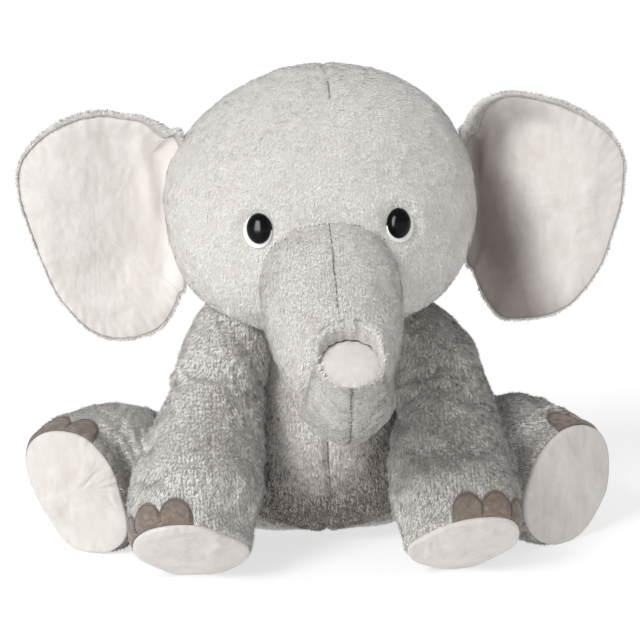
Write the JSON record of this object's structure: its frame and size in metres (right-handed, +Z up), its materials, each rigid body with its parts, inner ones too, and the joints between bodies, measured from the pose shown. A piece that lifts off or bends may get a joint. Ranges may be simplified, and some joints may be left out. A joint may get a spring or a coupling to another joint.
{
  "type": "stuffed elephant",
  "caption": "Seated plush elephant with large flapping ears, a curled trunk, soft legs with pale soles and toenails, and glossy domed eyes.",
  "frame": {"origin": "centre of the flat seat on the underside of the torso, on the floor", "axes": "+Z up; the elephant faces -Y; +X is the elephant's own left"},
  "size_m": [0.6128, 0.5117, 0.493],
  "materials": {
    "plush": "short tousled grey pile",
    "velour": "fine close nap, pale pinkish grey",
    "suede": "matt suede-like cloth, taupe",
    "felt": "white felt",
    "stuffing": "loose polyester fibre",
    "eye_plastic": "glossy black",
    "washer_plastic": "natural"
  },
  "bodies": {
    "torso": {"torso_cover": "plush", "torso_stuffing": "stuffing"},
    "head": {"head_cover": "plush", "head_stuffing": "stuffing", "left_eye": "eye_plastic", "left_eye_felt": "felt", "left_eye_washer": "washer_plastic", "right_eye": "eye_plastic", "right_eye_felt": "felt", "right_eye_washer": "washer_plastic"},
    "trunk": {"trunk_cover": "plush", "trunk_stuffing": "stuffing"},
    "trunk_tip": {"trunk_tip_cover": "plush", "trunk_tip_stuffing": "stuffing", "trunk_tip_disc": "velour"},
    "left_ear": {"left_ear_back": "plush", "left_ear_lining": "velour", "left_ear_wadding": "stuffing"},
    "right_ear": {"right_ear_back": "plush", "right_ear_lining": "velour", "right_ear_wadding": "stuffing"},
    "tail": {"tail_cord": "plush", "tail_tuft": "plush"},
    "left_foreleg": {"left_foreleg_cover": "plush", "left_foreleg_stuffing": "stuffing", "left_foreleg_sole": "velour", "left_foreleg_toenail_1": "suede", "left_foreleg_toenail_2": "suede", "left_foreleg_toenail_3": "suede"},
    "right_foreleg": {"right_foreleg_cover": "plush", "right_foreleg_stuffing": "stuffing", "right_foreleg_sole": "velour", "right_foreleg_toenail_1": "suede", "right_foreleg_toenail_2": "suede", "right_foreleg_toenail_3": "suede"},
    "left_hindleg": {"left_hindleg_cover": "plush", "left_hindleg_stuffing": "stuffing", "left_hindleg_sole": "velour", "left_hindleg_toenail_1": "suede", "left_hindleg_toenail_2": "suede", "left_hindleg_toenail_3": "suede"},
    "right_hindleg": {"right_hindleg_cover": "plush", "right_hindleg_stuffing": "stuffing", "right_hindleg_sole": "velour", "right_hindleg_toenail_1": "suede", "right_hindleg_toenail_2": "suede", "right_hindleg_toenail_3": "suede"}
  },
  "joints": [
    {"name": "neck_nod", "type": "hinge", "parent": "torso", "child": "head", "pos_m": [0, 0, 0.205], "axis": [1, 0, 0], "range_deg": [-10, 8], "stiffness_Nm_per_rad": 20},
    {"name": "trunk_lift", "type": "hinge", "parent": "head", "child": "trunk", "pos_m": [0, -0.145, 0.304], "axis": [-1, 0, 0], "range_deg": [-6, 30], "stiffness_Nm_per_rad": 5},
    {"name": "trunk_curl", "type": "hinge", "parent": "trunk", "child": "trunk_tip", "pos_m": [0.0045, -0.25, 0.209], "axis": [-1, 0, 0], "range_deg": [-15, 20], "stiffness_Nm_per_rad": 2},
    {"name": "left_ear_flap", "type": "hinge", "parent": "head", "child": "left_ear", "pos_m": [0.168, -0.045, 0.357], "axis": [0, 0, -1], "range_deg": [-20, 30], "stiffness_Nm_per_rad": 0.6},
    {"name": "right_ear_flap", "type": "hinge", "parent": "head", "child": "right_ear", "pos_m": [-0.168, -0.045, 0.357], "axis": [0, 0, 1], "range_deg": [-20, 30], "stiffness_Nm_per_rad": 0.6},
    {"name": "left_shoulder", "type": "hinge", "parent": "torso", "child": "left_foreleg", "pos_m": [0.112, -0.076, 0.186], "axis": [-1, 0, 0], "range_deg": [0, 35], "stiffness_Nm_per_rad": 4},
    {"name": "right_shoulder", "type": "hinge", "parent": "torso", "child": "right_foreleg", "pos_m": [-0.104, -0.076, 0.186], "axis": [-1, 0, 0], "range_deg": [0, 35], "stiffness_Nm_per_rad": 4},
    {"name": "left_hip", "type": "hinge", "parent": "torso", "child": "left_hindleg", "pos_m": [0.137, 0.008, 0.064], "axis": [-0.551, -0.8345, 0], "range_deg": [0, 25], "stiffness_Nm_per_rad": 4},
    {"name": "right_hip", "type": "hinge", "parent": "torso", "child": "right_hindleg", "pos_m": [-0.137, 0.008, 0.064], "axis": [-0.5707, 0.8212, 0], "range_deg": [0, 25], "stiffness_Nm_per_rad": 4},
    {"name": "tail_lift", "type": "hinge", "parent": "torso", "child": "tail", "pos_m": [0, 0.128, 0.08], "axis": [1, 0, 0], "range_deg": [-10, 60], "stiffness_Nm_per_rad": 0.1}
  ]
}
